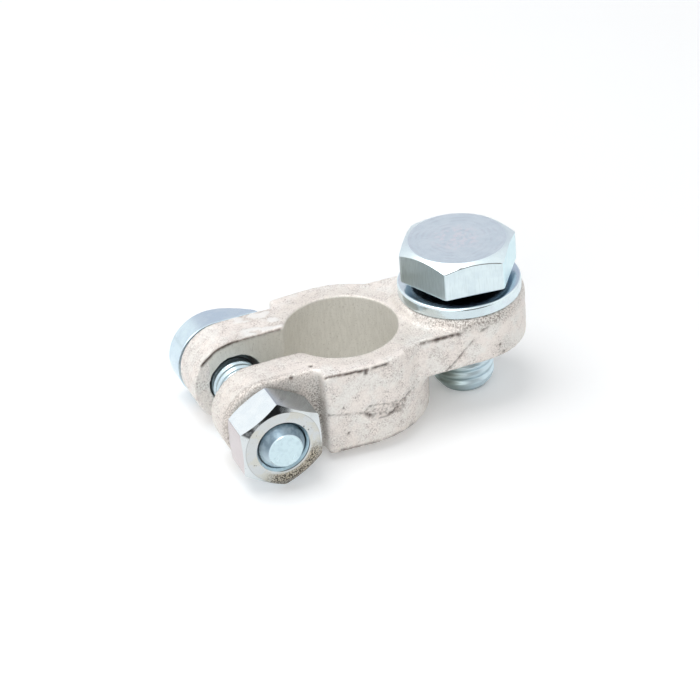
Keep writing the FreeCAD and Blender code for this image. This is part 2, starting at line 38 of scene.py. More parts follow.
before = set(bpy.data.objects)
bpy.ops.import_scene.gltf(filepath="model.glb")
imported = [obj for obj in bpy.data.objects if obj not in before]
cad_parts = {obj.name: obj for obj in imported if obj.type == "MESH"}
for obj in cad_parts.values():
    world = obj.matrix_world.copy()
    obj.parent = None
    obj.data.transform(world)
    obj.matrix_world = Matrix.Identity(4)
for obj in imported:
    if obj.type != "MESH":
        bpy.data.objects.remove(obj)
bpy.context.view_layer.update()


def box_mm(node):
    """Lowest and highest corner of a CAD node, in millimetres."""
    low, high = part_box(node)
    return np.array(low) / MM, np.array(high) / MM


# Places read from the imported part, in millimetres
WASHER_LOW, WASHER_HIGH = box_mm("terminal_washer")
BOLT_LOW = box_mm("terminal_bolt")[0]
NUT_LOW, NUT_HIGH = box_mm("pinch_nut")
PINCH_LOW, PINCH_HIGH = box_mm("pinch_bolt")
CAST_LOW, CAST_HIGH = box_mm("clamp_body")
TERMINAL_X = (WASHER_LOW[0] + WASHER_HIGH[0]) / 2
PINCH_X = (NUT_LOW[0] + NUT_HIGH[0]) / 2
PINCH_Z = (NUT_LOW[2] + NUT_HIGH[2]) / 2

# Casting
RING_TOP = 14.45
BORE_MOUTH = 9.8
SLOT_HALF = 3.75
SLOT_CUT_END = -21.2
SHOULDER_X = -8.2
EAR_FACE = -10.0
VOXEL = 0.25

# Terminal bolt, M10. Its own z starts at its seat, the underside of its washer face
TERMINAL_FLATS = 17.0
TERMINAL_HEAD = 6.4
TERMINAL_TURN = -5.8
TERMINAL_TOP = 7.85
TERMINAL_FACE = 7.8
TERMINAL_FACE_TALL = 0.5
TERMINAL_GAP = 0.83
TERMINAL_SEAT = WASHER_HIGH[2] + TERMINAL_GAP
TERMINAL_LENGTH = TERMINAL_SEAT - BOLT_LOW[2]
TERMINAL_MAJOR = 4.93
TERMINAL_PITCH = 1.5
TERMINAL_TIP = 3.8
TERMINAL_TIP_RUN = 1.5

# Burr along the upper edge of one of its flats, and the nick in it: millimetres and degrees
BURR_TURN = TERMINAL_TURN - 90
BURR_REACH = 29
BURR_HEIGHT = 0.1
BURR_DEPTH = 0.02
NICK_TURN = BURR_TURN - 14.4
NICK_REACH = 1.6
NICK_HEIGHT = 0.12
NICK_DEPTH = 0.3

# Pinch bolt, M8. Its head has a round end and a square one, and its own z starts under the head
PINCH_ROUND = 7.0
PINCH_SIDE = 7.8
PINCH_CORNER = 1.2
PINCH_HEAD = 4.45
PINCH_TOP = 6.7
PINCH_SLOPE = 1.2
PINCH_SEAT = PINCH_HIGH[1] - PINCH_HEAD
PINCH_LENGTH = PINCH_SEAT - PINCH_LOW[1]
PINCH_MAJOR = 3.93
PINCH_PITCH = 1.25
PINCH_TIP = 2.72
PINCH_TIP_RUN = 1.9
# Shade in the far ear's hole, along the bolt's own z: where it sets in, and where it fades towards the head
EAR_SHADE_START = (-7.25, -7.05)
EAR_SHADE_END = (-5.4, -6.4)

# Pinch nut. Its own z starts at its face beside the ear and points away from the ear
NUT_FLATS = 13.0
NUT_TALL = NUT_HIGH[1] - NUT_LOW[1]
NUT_TURN = 31.2
NUT_FACE = 6.15
NUT_BORE = 4.02
NUT_MOUTH = 4.38
NUT_SINK = 0.45
NUT_THREAD_SHARE = 0.6
NUT_THREAD_FADE = 0.4

# Washer
WASHER_HOLE = 5.25
WASHER_EDGE = 0.45
WASHER_EDGE_STEPS = 6

# Hexagons and threads. A thread's depth is a share of its pitch, and its rings are counted for each turn
HEX_SLOPE = 0.577
HEX_SEGMENTS = 168
THREAD_DEPTH = 0.22
THREAD_CREST = 1.15
TERMINAL_THREAD_RINGS = 20
PINCH_THREAD_RINGS = 16
PINCH_SEGMENTS = 144
WASHER_SEGMENTS = 160

# Rings of a bolt's head: shares of its top's radius, the top's sunk edge, shares of the chamfer's width,
# and how far below the chamfer the rings of its side are
TOP_SHARES = (0, 0.3, 0.6, 0.85, 0.985)
TOP_EDGE = 0.03
CHAMFER_SHARES = (0.35, 0.7, 0.95, 1.0)
SIDE_STEPS = (0.09, 0.15, 0.2)

# Shank of a bolt: the fillet under its head, the stretch before the thread, and the rings of its end
SHANK_FILLET = 0.25
SHANK_PLAIN = 0.6
END_SHARES = (0.98, 0.8, 0.4, 0)


def shade(mesh, degrees=24):
    """Smooth the faces, but keep edges sharper than the given angle."""
    mesh.shade_smooth()
    mesh.set_sharp_from_angle(angle=math.radians(degrees))


def add_object(name, mesh, matrix=None):
    piece = bpy.data.objects.new(name, mesh)
    bpy.context.scene.collection.objects.link(piece)
    if matrix is not None:
        piece.matrix_world = matrix
    return piece


def angles_of(segments):
    return np.arange(segments) * 2 * math.pi / segments


def ring_mesh(name, rings, segments, closed=False):
    """Skin a stack of rings, each a pair (radius, height) in mm per angle, into a turned mesh in metres."""
    angles = angles_of(segments)
    points = []
    for radius, height in rings:
        radius = np.broadcast_to(radius, angles.shape)
        height = np.broadcast_to(height, angles.shape)
        points.append(np.stack([radius * np.cos(angles), radius * np.sin(angles), height], axis=1))
    vertices = np.concatenate(points) * MM
    count = len(rings)
    faces = []
    for ring in range(count if closed else count - 1):
        above = (ring + 1) % count
        for step in range(segments):
            after = (step + 1) % segments
            faces.append((
                ring * segments + step,
                ring * segments + after,
                above * segments + after,
                above * segments + step,
            ))
    mesh = bpy.data.meshes.new(name)
    mesh.from_pydata(vertices.tolist(), [], faces)
    work = bmesh.new()
    work.from_mesh(mesh)
    bmesh.ops.remove_doubles(work, verts=work.verts, dist=MM * 1e-4)
    bmesh.ops.dissolve_degenerate(work, edges=work.edges, dist=MM * 1e-4)
    bmesh.ops.recalc_face_normals(work, faces=work.faces)
    work.to_mesh(mesh)
    work.free()
    shade(mesh)
    return mesh


def mesh_points(mesh):
    """Points of a mesh in millimetres, one row each."""
    points = np.zeros(len(mesh.vertices) * 3)
    mesh.vertices.foreach_get("co", points)
    return points.reshape(-1, 3) / MM


def add_mask(mesh, name, values):
    layer = mesh.attributes.new(name, "FLOAT", "POINT")
    layer.data.foreach_set("value", values.astype(np.float32))


def hexagon(angles, flats, turn, sharpness=90):
    """Polar outline of a hexagon with a corner at the given turn and very slightly rounded corners."""
    total = np.zeros_like(angles)
    for side in range(6):
        normal = math.radians(turn + 30 + 60 * side)
        total += np.maximum(np.cos(angles - normal), 0) ** sharpness
    return flats / 2 / total ** (1 / sharpness)


def pinch_outline(angles):
    """Polar outline of the pinch bolt's head: half a circle, then a box with rounded corners."""
    low = np.full_like(angles, PINCH_ROUND - PINCH_CORNER)
    high = np.full_like(angles, PINCH_SIDE + PINCH_ROUND)
    # Halving steps find where each ray leaves the rounded box
    halvings = 40
    for _ in range(halvings):
        reach = (low + high) / 2
        over_x = np.maximum(reach * np.cos(angles) - (PINCH_SIDE - PINCH_CORNER), 0)
        over_y = np.maximum(np.abs(reach * np.sin(angles)) - (PINCH_ROUND - PINCH_CORNER), 0)
        outside = np.hypot(over_x, over_y) > PINCH_CORNER
        low = np.where(outside, low, reach)
        high = np.where(outside, reach, high)
    return np.where(np.cos(angles) < 0, PINCH_ROUND, low)


def thread(angles, height, major, pitch, depth):
    """Radius of a soft right-hand thread with slightly flattened crests, at the given height."""
    wave = 0.5 + 0.5 * np.cos(2 * math.pi * (height / pitch - angles / (2 * math.pi)))
    return major - depth * (1 - np.clip(wave * THREAD_CREST, 0, 1))


def head_rings(outline, top_radius, head_height, slope):
    """Rings of a bolt's head from the middle of its top, over the chamfer, to just below it."""
    rings = [(top_radius * share, head_height) for share in TOP_SHARES]
    rings.append((top_radius, head_height - TOP_EDGE))
    drop = slope * (outline - top_radius)
    for share in CHAMFER_SHARES:
        rings.append((top_radius + (outline - top_radius) * share, head_height - drop * share))
    for below in SIDE_STEPS:
        rings.append((outline, head_height - drop - below))
    return rings


def shank_rings(angles, length, major, pitch, tip_radius, tip_length, rings_a_turn):
    """Rings of a threaded shank from the bearing face down to the middle of its chamfered end."""
    steps = int(length / pitch * rings_a_turn)
    rings = [(major + SHANK_FILLET, 0), (major, -SHANK_FILLET)]
    for step in range(steps):
        height = -SHANK_PLAIN - (length - SHANK_PLAIN) * step / (steps - 1)
        depth = THREAD_DEPTH * pitch * min(1, (-height - SHANK_PLAIN) / pitch)
        radius = thread(angles, height, major, pitch, depth)
        cone = tip_radius + (major - tip_radius) * (length + height) / tip_length
        rings.append((np.minimum(radius, np.maximum(cone, tip_radius)), height))
    for share in END_SHARES:
        rings.append((tip_radius * share, -length))
    return rings


def chamfer_edge(turn):
    """Height at which the terminal bolt's chamfer meets its flats, in each direction."""
    return TERMINAL_HEAD - HEX_SLOPE * (hexagon(turn, TERMINAL_FLATS, TERMINAL_TURN) - TERMINAL_TOP)


def turned_from(turn, degrees):
    """Angle between each direction and the one at the given degrees."""
    return np.abs((turn - math.radians(degrees) + math.pi) % (2 * math.pi) - math.pi)


def mark_burr(mesh):
    """Mask a fine line along the chamfer's edge over one flat of the terminal bolt, with a nick in it."""
    points = mesh_points(mesh)
    turn = np.arctan2(points[:, 1], points[:, 0])
    over_flat = turned_from(turn, BURR_TURN) < math.radians(BURR_REACH)
    nicked = turned_from(turn, NICK_TURN) < math.radians(NICK_REACH)
    on_line = np.abs(points[:, 2] - chamfer_edge(turn)) < np.where(nicked, NICK_HEIGHT, BURR_HEIGHT)
    radius = np.hypot(points[:, 0], points[:, 1])
    edge_width = np.where(nicked, NICK_DEPTH, BURR_DEPTH)
    at_edge = radius > hexagon(turn, TERMINAL_FLATS, TERMINAL_TURN) - edge_width
    add_mask(mesh, "burr", np.where(on_line & at_edge & over_flat, 1.0, 0.0))


def make_terminal_bolt():
    """Hexagon bolt with a chamfered head, a round washer face and a threaded shank."""
    angles = angles_of(HEX_SEGMENTS)
    outline = hexagon(angles, TERMINAL_FLATS, TERMINAL_TURN)
    rings = head_rings(outline, TERMINAL_TOP, TERMINAL_HEAD, HEX_SLOPE)
    edge = 0.2
    bevel = 0.08
    rings += [
        (outline, TERMINAL_FACE_TALL + edge * 0.8),
        (outline - edge * 0.3, TERMINAL_FACE_TALL + edge * 0.2),
        (outline - edge, TERMINAL_FACE_TALL),
        (TERMINAL_FACE + bevel, TERMINAL_FACE_TALL),
        (TERMINAL_FACE, TERMINAL_FACE_TALL - bevel),
        (TERMINAL_FACE, bevel),
        (TERMINAL_FACE - bevel, 0),
    ]
    rings += shank_rings(
        angles, TERMINAL_LENGTH, TERMINAL_MAJOR, TERMINAL_PITCH,
        TERMINAL_TIP, TERMINAL_TIP_RUN, TERMINAL_THREAD_RINGS,
    )
    mesh = ring_mesh("terminal_bolt_plated", rings, HEX_SEGMENTS)
    mark_burr(mesh)
    place = Matrix.Translation(Vector((TERMINAL_X, 0, TERMINAL_SEAT)) * MM)
    return add_object("terminal_bolt_plated", mesh, place)


def on_pinch_axis(seat, quarter):
    """Place on the pinch axis, with the piece's own z turned to the part's y by a quarter of a turn."""
    return Matrix.Translation(Vector((PINCH_X, seat, PINCH_Z)) * MM) @ Matrix.Rotation(quarter, 4, "X")


def make_pinch_bolt():
    """Bolt with a half-round, conical head and a threaded shank with a long cone at its end."""
    angles = angles_of(PINCH_SEGMENTS)
    outline = pinch_outline(angles)
    rings = head_rings(outline, PINCH_TOP, PINCH_HEAD, PINCH_SLOPE)
    bevel = 0.1
    rings += [(outline, bevel), (outline - bevel, 0)]
    rings += shank_rings(
        angles, PINCH_LENGTH, PINCH_MAJOR, PINCH_PITCH, PINCH_TIP, PINCH_TIP_RUN, PINCH_THREAD_RINGS,
    )
    mesh = ring_mesh("pinch_bolt_plated", rings, PINCH_SEGMENTS)
    return add_object("pinch_bolt_plated", mesh, on_pinch_axis(PINCH_SEAT, -math.pi / 2))


def make_pinch_nut():
    """Nut with chamfers on both faces, countersinks and an inner thread."""
    angles = angles_of(HEX_SEGMENTS)
    outline = hexagon(angles, NUT_FLATS, NUT_TURN)
    drop = HEX_SLOPE * (outline - NUT_FACE)
    face_ring = 0.7
    face_edge = 0.05
    rings = [(NUT_MOUTH, NUT_TALL), (NUT_MOUTH + face_ring, NUT_TALL), (NUT_FACE - face_edge, NUT_TALL)]
    for share in (0.0, 0.5, 1.0):
        rings.append((NUT_FACE + (outline - NUT_FACE) * share, NUT_TALL - drop * share))
    rings += [
        (outline, NUT_TALL / 2),
        (outline, drop),
        (NUT_FACE, 0),
        (NUT_MOUTH, 0),
    ]
    depth = THREAD_DEPTH * PINCH_PITCH
    threaded = NUT_TALL - 2 * NUT_SINK
    steps = int(threaded / PINCH_PITCH * PINCH_THREAD_RINGS)
    for step in range(steps):
        height = NUT_SINK + threaded * step / (steps - 1)
        groove = -thread(angles, height, 0, PINCH_PITCH, depth)
        near_end = min(height - NUT_SINK, NUT_TALL - NUT_SINK - height) / NUT_THREAD_FADE
        rings.append((NUT_BORE + groove * min(1, near_end) * NUT_THREAD_SHARE, height))
    mesh = ring_mesh("pinch_nut_plated", rings, HEX_SEGMENTS, closed=True)
    return add_object("pinch_nut_plated", mesh, on_pinch_axis(NUT_HIGH[1], math.pi / 2))


def make_washer():
    """Stamped washer: rolled over at its upper outer edge, nearly sharp below."""
    radius = (WASHER_HIGH[0] - WASHER_LOW[0]) / 2
    tall = WASHER_HIGH[2] - WASHER_LOW[2]
    lower_bevel = 0.12
    lower_inset = 0.1
    hole_bevel = 0.15
    face_ring = 2.0
    edge_ring = 0.1
    rings = [(WASHER_HOLE, lower_bevel), (WASHER_HOLE, tall - hole_bevel), (WASHER_HOLE + hole_bevel, tall)]
    rings += [(radius - face_ring, tall), (radius - WASHER_EDGE - edge_ring, tall)]
    for step in range(1, WASHER_EDGE_STEPS + 1):
        turn = math.pi / 2 * step / WASHER_EDGE_STEPS
        rings.append((
            radius - WASHER_EDGE + WASHER_EDGE * math.sin(turn),
            tall - WASHER_EDGE + WASHER_EDGE * math.cos(turn),
        ))
    rings += [(radius, lower_bevel), (radius - lower_inset, 0), (WASHER_HOLE + lower_bevel, 0)]
    mesh = ring_mesh("terminal_washer_plated", rings, WASHER_SEGMENTS, closed=True)
    place = Matrix.Translation(Vector((TERMINAL_X, 0, WASHER_LOW[2])) * MM)
    return add_object("terminal_washer_plated", mesh, place)


# Marks on the casting, as lines of points (x, y, z) in mm: on its near wall, and along the slot
FLASH_LINE = [
    (-8.2, -12.9, 7.5), (-4.9, -13.2, 6.9), (-2.1, -13.3, 6.3), (-1.0, -13.4, 5.5), (0.1, -13.4, 4.7),
]
FLASH_DIP = [(0.1, -13.4, 4.7), (1.4, -13.4, 4.6), (2.9, -13.1, 4.8), (4.0, -12.8, 5.2)]
FLASH_RISE = [
    (4.0, -12.8, 5.6), (4.8, -12.3, 6.1), (5.8, -12.2, 6.6), (7.2, -11.4, 6.8), (8.8, -10.4, 7.1),
]
TORN_LINE = [
    (-1.0, -13.4, 6.4), (0.4, -13.3, 6.4), (1.9, -13.2, 6.0), (3.2, -13.0, 5.7), (4.4, -12.6, 5.7),
]
NECK_CREASE = [
    (13.2, -10.4, 7.4), (14.1, -10.4, 8.2), (15.7, -10.4, 9.6), (16.7, -10.4, 10.6), (18.4, -10.4, 12.1),
]
RIM_LINE = [
    (-8.2, -12.6, 14.2), (-4.6, -13.0, 14.2), (-1.3, -13.2, 14.0), (0.4, -13.2, 14.0), (2.4, -13.1, 14.0),
]
FLAG_NICK = [(19.8, -10.4, 13.4), (21.7, -10.4, 14.0)]
NECK_RIM = [
    (9.4, -10.2, 14.0), (11.0, -10.2, 14.0), (12.6, -10.3, 14.0), (14.4, -10.3, 14.0), (16.2, -10.4, 13.9),
]
FLAG_FOOT = [
    (13.6, -10.2, 7.5), (18.0, -10.4, 7.5), (22.0, -10.3, 7.5), (25.6, -9.1, 7.5), (28.4, -7.0, 7.5),
]
RING_FOOT = [
    (-8.2, -13.0, 0.5), (-5.0, -13.1, 0.4), (-1.0, -13.2, 0.4), (3.0, -12.9, 0.4), (6.6, -11.5, 0.4),
]
SLOT_RIM = [
    (-9.0, SLOT_HALF, 14.5), (-13.0, SLOT_HALF, 14.5), (-16.9, SLOT_HALF, 14.4),
    (-20.0, SLOT_HALF, 13.7), (-22.6, SLOT_HALF, 11.6),
]
# Middle of the dusty patch on the flag's side
FLAG_DUST = (23.6, -10.1, 8.9)
# Pits as (x, y, z, radius)
PITS = (
    (10.2, 1.0, RING_TOP, 0.4),
    (-1.3, -13.2, 13.5, 0.5),
    (12.2, -10.2, 13.9, 0.55),
    (-12.4, -9.9, 14.1, 0.45),
    (-8.6, -8.5, 14.4, 0.4),
    (-4.8, -13.3, 3.3, 0.25),
    (-5.4, -13.2, 8.2, 0.22),
    (23.1, -10.2, 9.7, 0.3),
    (23.8, -10.0, 8.1, 0.3),
)
# How far from its line a crack is deepest and darkest. Then each crack's shape: its depth and width, and
# the height, offset and width of what fills its middle
LINE_SHIFT = 0.05
SEAM_SHAPE = (0.2, 0.2, 0.14, 0.35, 0.26)
CREASE_SHAPE = (0.2, 0.18, 0.12, 0.3, 0.22)
# What each seed moves the noise by, so that no two grains are alike
SEED_STEP = (17.3, 5.1, 9.7)


def far_from(points, line):
    """Distance of each point to a polyline, in mm."""
    nearest = np.full(len(points), np.inf)
    for start, end in zip(line, line[1:]):
        start, end = np.array(start), np.array(end)
        along = end - start
        share = np.clip((points - start) @ along / (along @ along), 0, 1)
        nearest = np.minimum(nearest, np.linalg.norm(points - start - share[:, None] * along, axis=1))
    return nearest


def rise_of(values, low, high):
    """Smooth step from 0 at low to 1 at high."""
    share = np.clip((values - low) / (high - low), 0, 1)
    return share * share * (3 - 2 * share)


def hump(values, width):
    """Bell of height 1 round 0."""
    return np.exp(-(values / width) ** 2)


def grain(points, scale, octaves, seed):
    """Fractal noise of unit scale at each point, about -1 to 1."""
    shift = Vector([seed * step for step in SEED_STEP])
    return np.array([
        noise.fractal(Vector(point) * scale + shift, 1.0, 2.0, octaves) for point in points.tolist()
    ])


def remeshed_casting():
    """Even mesh of the CAD casting, in millimetres, so that marks and grain can be pressed into it."""
    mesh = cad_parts["clamp_body"].data.copy()
    mesh.transform(Matrix.Scale(1 / MM, 4))
    helper = add_object("casting_source", mesh)
    modifier = helper.modifiers.new("even", "REMESH")
    modifier.mode = "VOXEL"
    modifier.voxel_size = VOXEL
    modifier.use_smooth_shade = True
    bpy.context.view_layer.update()
    evaluated = helper.evaluated_get(bpy.context.evaluated_depsgraph_get())
    even = bpy.data.meshes.new_from_object(evaluated)
    bpy.data.objects.remove(helper)
    return even


def crack(distance, depth, width, fill, fill_offset, fill_width):
    """Cross-section of a crack: sunk along its line, and partly filled where the distance is under 0."""
    return fill * hump(distance + fill_offset, fill_width) - depth * hump(distance - LINE_SHIFT, width)


def seam_marks(points, near_wall):
    """Flash line and creases on the near wall: how deep they are and how dark."""
    wander = 0.14 * grain(points, 1.1, 2, 7)
    seam = np.minimum(far_from(points, FLASH_LINE), far_from(points, FLASH_RISE))
    seam = np.minimum(seam, far_from(points, FLASH_DIP)) + wander
    crease = np.minimum(far_from(points, NECK_CREASE), far_from(points, FLAG_NICK)) + wander
    broken = rise_of(grain(points, 0.7, 2, 15), -0.45, 0.1)
    shift = near_wall * crack(seam, *SEAM_SHAPE)
    shift += near_wall * crack(crease, *CREASE_SHAPE)
    seam_dark = 0.68 * hump(seam - LINE_SHIFT, 0.12)
    crease_dark = 0.7 * hump(crease - LINE_SHIFT, 0.11)
    return shift, near_wall * broken * (seam_dark + crease_dark)


def torn_marks(points, near_wall):
    """Torn patch above the dip of the flash line, with a lip round it: how deep it is and how dark."""
    reach = far_from(points, TORN_LINE) + 0.3 * grain(points, 1.6, 3, 8)
    torn = near_wall * (1 - rise_of(reach, 0.75, 1.1))
    lip = near_wall * 0.14 * hump(reach - 1.2, 0.22)
    shift = torn * (-0.26 + 0.34 * grain(points, 1.5, 3, 9)) + lip
    dark = 0.5 * torn * rise_of(grain(points, 2.4, 3, 17), 0.05, 0.35)
    dark += 0.5 * near_wall * hump(reach - 0.95, 0.1)
    return shift, dark


def rim_marks(points, near_side):
    """Chipped near edges of ring and neck, painted shade along the ring's foot, a darker line along the
    flag's foot, and the dark rims of the slot.
    """
    wander = 0.12 * grain(points, 1.4, 2, 21)
    chips = rise_of(grain(points, 1.3, 3, 11), -0.8, -0.2)
    ring_rim = hump(far_from(points, RIM_LINE) + wander - 0.1, 0.17)
    neck_rim = hump(far_from(points, NECK_RIM) + wander - 0.1, 0.17)
    rim = np.maximum(ring_rim, neck_rim) * chips
    flag_foot = hump(far_from(points, FLAG_FOOT) + wander, 0.3)
    flag_foot = flag_foot * rise_of(grain(points, 1.2, 3, 12), 0.0, 0.3)
    # Painted shade along the ring's bottom edge, next to the floor
    ring_foot = hump(far_from(points, RING_FOOT) + wander, 0.35)
    ring_foot = ring_foot * rise_of(grain(points, 1.0, 3, 14), -0.6, 0.0)
    mirrored = points * np.array((1, -1, 1))
    slot_rim = np.minimum(far_from(points, SLOT_RIM), far_from(mirrored, SLOT_RIM))
    slot_rim = hump(slot_rim + 0.6 * wander, 0.26) * rise_of(grain(points, 0.9, 3, 24), -1.0, -0.35)
    dark = near_side * (rim + 0.6 * flag_foot + 0.8 * ring_foot) + 1.4 * slot_rim
    return -0.2 * rim - 0.1 * slot_rim, dark


def dust_and_shade(points):
    """Share of dark speckle: dust mixed with painted shade about the nut, in the shoulder's corner and round
    the washer, and dust on neck, ears and flag.
    """
    x, y, z = points.T
    on_ear = (y < EAR_FACE + 1.2) * (x < SHOULDER_X + 0.4)
    ear = 0.62 * on_ear * (1 - rise_of(np.hypot(x - PINCH_X, z - PINCH_Z), 7.5, 10.5))
    corner = hump(x - SHOULDER_X, 1.6) * hump(y - EAR_FACE, 1.6)
    shoulder = corner * rise_of(z, 1, 4) * (1 - rise_of(z, 12.5, 14.2))
    boss = (y < 3) * hump(np.hypot(x - TERMINAL_X, y) - 10.3, 1.0) * rise_of(z, 13.0, 15.0) * (x > 11)
    boss = boss * (0.65 + 0.35 * hump(x - TERMINAL_X - 1, 4.0) - 0.5 * rise_of(x - TERMINAL_X, 4, 8))
    neck = (y < -4) * (x > 6) * (x < 18) * rise_of(z, 13.6, 14.3) * rise_of(-y, 4, 9)
    ears = (x < -6) * rise_of(z, 13.2, 14.2) * hump(np.abs(y) - SLOT_HALF, 1.6)
    flag = 0.55 * hump(np.linalg.norm(points - np.array(FLAG_DUST), axis=1), 1.9)
    return np.clip(ear + 0.8 * shoulder + boss + 0.25 * neck + 0.35 * ears + flag, 0, 1)


def cut_faces(points, normals):
    """1 on the cut walls of the bore and the slot, 0 elsewhere."""
    x, y, _ = points.T
    upright = np.abs(normals[:, 2]) < 0.6
    in_bore = np.hypot(x, y) < BORE_MOUTH + 0.35
    in_slot = (np.abs(y) < SLOT_HALF + 0.3) & (x < 0) & (x > SLOT_CUT_END)
    return np.where((in_bore | in_slot) & upright, 1.0, 0.0)


def rough_skin(points, cut):
    """Height of the as-cast grain, which is much lower on the cut faces."""
    coarse = grain(points, 0.22, 3, 1)
    medium = grain(points, 0.9, 3, 2)
    fine = grain(points, 2.2, 2, 3)
    return (1 - 0.85 * cut) * (0.06 * coarse + 0.04 * medium + 0.035 * fine) + cut * 0.006 * medium


def pitted(points):
    """How near each point is to the middle of a pit, from 0 to 1."""
    pits = np.zeros(len(points))
    for *middle, size in PITS:
        pits = np.maximum(pits, hump(np.linalg.norm(points - np.array(middle), axis=1), size))
    return pits


def ear_wear(points):
    """Bright worn facets on top of the far ear, and the dull edges between them."""
    x, y, z = points.T
    ear_top = rise_of(-x, 7.6, 8.6) * (1 - rise_of(-x, 14.0, 15.5)) * (y > 4.2) * rise_of(z, 13.2, 14.0)
    facets = grain(points * np.array((0.75, 1.3, 1)), 0.7, 1, 19)
    return ear_top * rise_of(facets, -0.1, 0.0), ear_top * hump(facets + 0.14, 0.1)


def press_marks(points, normals):
    """How far each point of the casting moves along its normal, and the masks for its colours."""
    x, y, z = points.T
    cut = cut_faces(points, normals)
    near_wall = ((y < -9) & (normals[:, 1] < -0.2)).astype(float)
    seam_shift, seam_dark = seam_marks(points, near_wall)
    torn_shift, torn_dark = torn_marks(points, near_wall)
    rim_shift, rim_dark = rim_marks(points, (y < -8).astype(float))
    pits = pitted(points)
    shift = rough_skin(points, cut) + (seam_shift + torn_shift + rim_shift - 0.3 * pits)
    # Nothing stands proud where the pinch bolt's head comes down on the far ear
    head_seat = (normals[:, 1] > 0.7) & (x < SHOULDER_X)
    shift = np.where(head_seat, np.minimum(shift, 0), shift)
    dark = np.clip(seam_dark + torn_dark + rim_dark + 0.9 * rise_of(pits, 0.25, 0.8), 0, 1)

    worn, dull = ear_wear(points)
    shift += 0.07 * worn
    on_ring = rise_of(z, 13.8, 14.3) * (1 - rise_of(np.hypot(x, y), 11.0, 12.5))
    sandy = on_ring * (1 - worn) + 0.7 * dull
    sandy += 0.55 * rise_of(-x, 9.0, 12.0) * (y < 0) + 0.4 * (1 - rise_of(z, 1.0, 7.0)) * (y < -8)
    masks = {
        "cut": cut,
        "dark": np.clip(dark + 0.13 * dull, 0, 1),
        "worn": worn,
        "dust_and_shade": dust_and_shade(points) * (1 - cut),
        "sandy": np.clip(sandy, 0, 1) * (1 - cut),
        "clean": rise_of(x, 15.0, 22.0),
    }
    return shift, masks


def make_casting():
    """Remeshed casting with its grain and marks pressed in, kept within the CAD casting's box."""
    mesh = remeshed_casting()
    count = len(mesh.vertices)
    points = np.zeros(count * 3)
    normals = np.zeros(count * 3)
    mesh.vertices.foreach_get("co", points)
    mesh.vertex_normals.foreach_get("vector", normals)
    points = points.reshape(-1, 3)
    normals = normals.reshape(-1, 3)
    shift, masks = press_marks(points, normals)
    points = np.clip(points + normals * shift[:, None], CAST_LOW, CAST_HIGH)
    mesh.vertices.foreach_set("co", (points * MM).astype(np.float32).ravel())
    for name, values in masks.items():
        add_mask(mesh, name, values)
    mesh.update()
    mesh.shade_smooth()
    return add_object("casting_surface", mesh)


class Graph:
    """Adds and links the nodes of one material or world."""

    def __init__(self, owner):
        owner.use_nodes = True
        self.tree = owner.node_tree
        self.tree.nodes.clear()

    def add(self, kind, inputs=None, output=0, **settings):
        """Add a node with its inputs linked or set, and give back one of its outputs."""
        node = self.tree.nodes.new(kind)
        for name, setting in settings.items():
            setattr(node, name, setting)
        for key, source in (inputs or {}).items():
            socket = node.inputs[key]
            if isinstance(source, bpy.types.NodeSocket):
                self.tree.links.new(source, socket)
            else:
                socket.default_value = source
        return node.outputs[output] if node.outputs else node

    def millimetres(self):
        """Place on the piece, in its own millimetres."""
        place = self.add("ShaderNodeTexCoord", output="Object")
        return self.add("ShaderNodeVectorMath", {0: place, "Scale": 1 / MM}, operation="SCALE")

    def stretched(self, place, factors):
        return self.add("ShaderNodeVectorMath", {0: place, 1: factors}, operation="MULTIPLY")

    def split(self, place):
        node = self.add("ShaderNodeSeparateXYZ", {0: place}).node
        return node.outputs[0], node.outputs[1], node.outputs[2]

    def noise(self, place, scale, detail=3.0, roughness=0.55):
        return self.add("ShaderNodeTexNoise", {
            "Vector": place, "Scale": scale, "Detail": detail, "Roughness": roughness,
        })

    def math(self, operation, first, second=0.0):
        return self.add("ShaderNodeMath", {0: first, 1: second}, operation=operation)

    def times(self, first, *others):
        for other in others:
            first = self.math("MULTIPLY", first, other)
        return first

    def radius(self, x, y):
        return self.math("SQRT", self.math("ADD", self.times(x, x), self.times(y, y)))

    def span(self, value, low, high, to_low=0.0, to_high=1.0):
        """Soft step from to_low where the value is low to to_high where it is high."""
        return self.add("ShaderNodeMapRange", {
            "Value": value, "From Min": low, "From Max": high, "To Min": to_low, "To Max": to_high,
        }, interpolation_type="SMOOTHSTEP")

    def mix(self, share, first, second):
        """Blend of two colours, which are inputs 6 and 7 and output 2 of the node."""
        return self.add("ShaderNodeMix", {"Factor": share, 6: first, 7: second}, output=2, data_type="RGBA")

    def mix_numbers(self, share, first, second):
        """Blend of two numbers, which are inputs 2 and 3 of the node."""
        return self.add("ShaderNodeMix", {"Factor": share, 2: first, 3: second}, data_type="FLOAT")

    def attribute(self, name):
        return self.add("ShaderNodeAttribute", output="Fac", attribute_name=name)

    def bump(self, height, strength, distance):
        return self.add("ShaderNodeBump", {"Height": height, "Strength": strength, "Distance": distance})

    def finish(self, shader, kind="ShaderNodeOutputMaterial"):
        self.add(kind, {"Surface": shader})


# Colours of the casting's skin, of its cut faces, and of the dirt in its marks, which also paints shade along
# the ring's foot
CAST_WARM = (0.955, 0.892, 0.835, 1)
CAST_PALE = (0.935, 0.91, 0.862, 1)
CAST_SAND = (0.80, 0.745, 0.675, 1)
CAST_BLOTCH = (0.66, 0.60, 0.565, 1)
CAST_SPECK = (0.36, 0.295, 0.26, 1)
# Dark speckle of dust, which also paints shade about the nut, the shoulder and the washer
CAST_DUST_AND_SHADE = (0.27, 0.225, 0.195, 1)
CAST_WORN = (0.98, 0.965, 0.925, 1)
CUT_DULL = (0.74, 0.715, 0.65, 1)
CUT_BRIGHT = (0.80, 0.775, 0.71, 1)
CUT_SPECK = (0.45, 0.41, 0.35, 1)
DIRT_AND_SHADE_BLACK = (0.05, 0.04, 0.035, 1)
DIRT_AND_SHADE_BROWN = (0.18, 0.135, 0.11, 1)


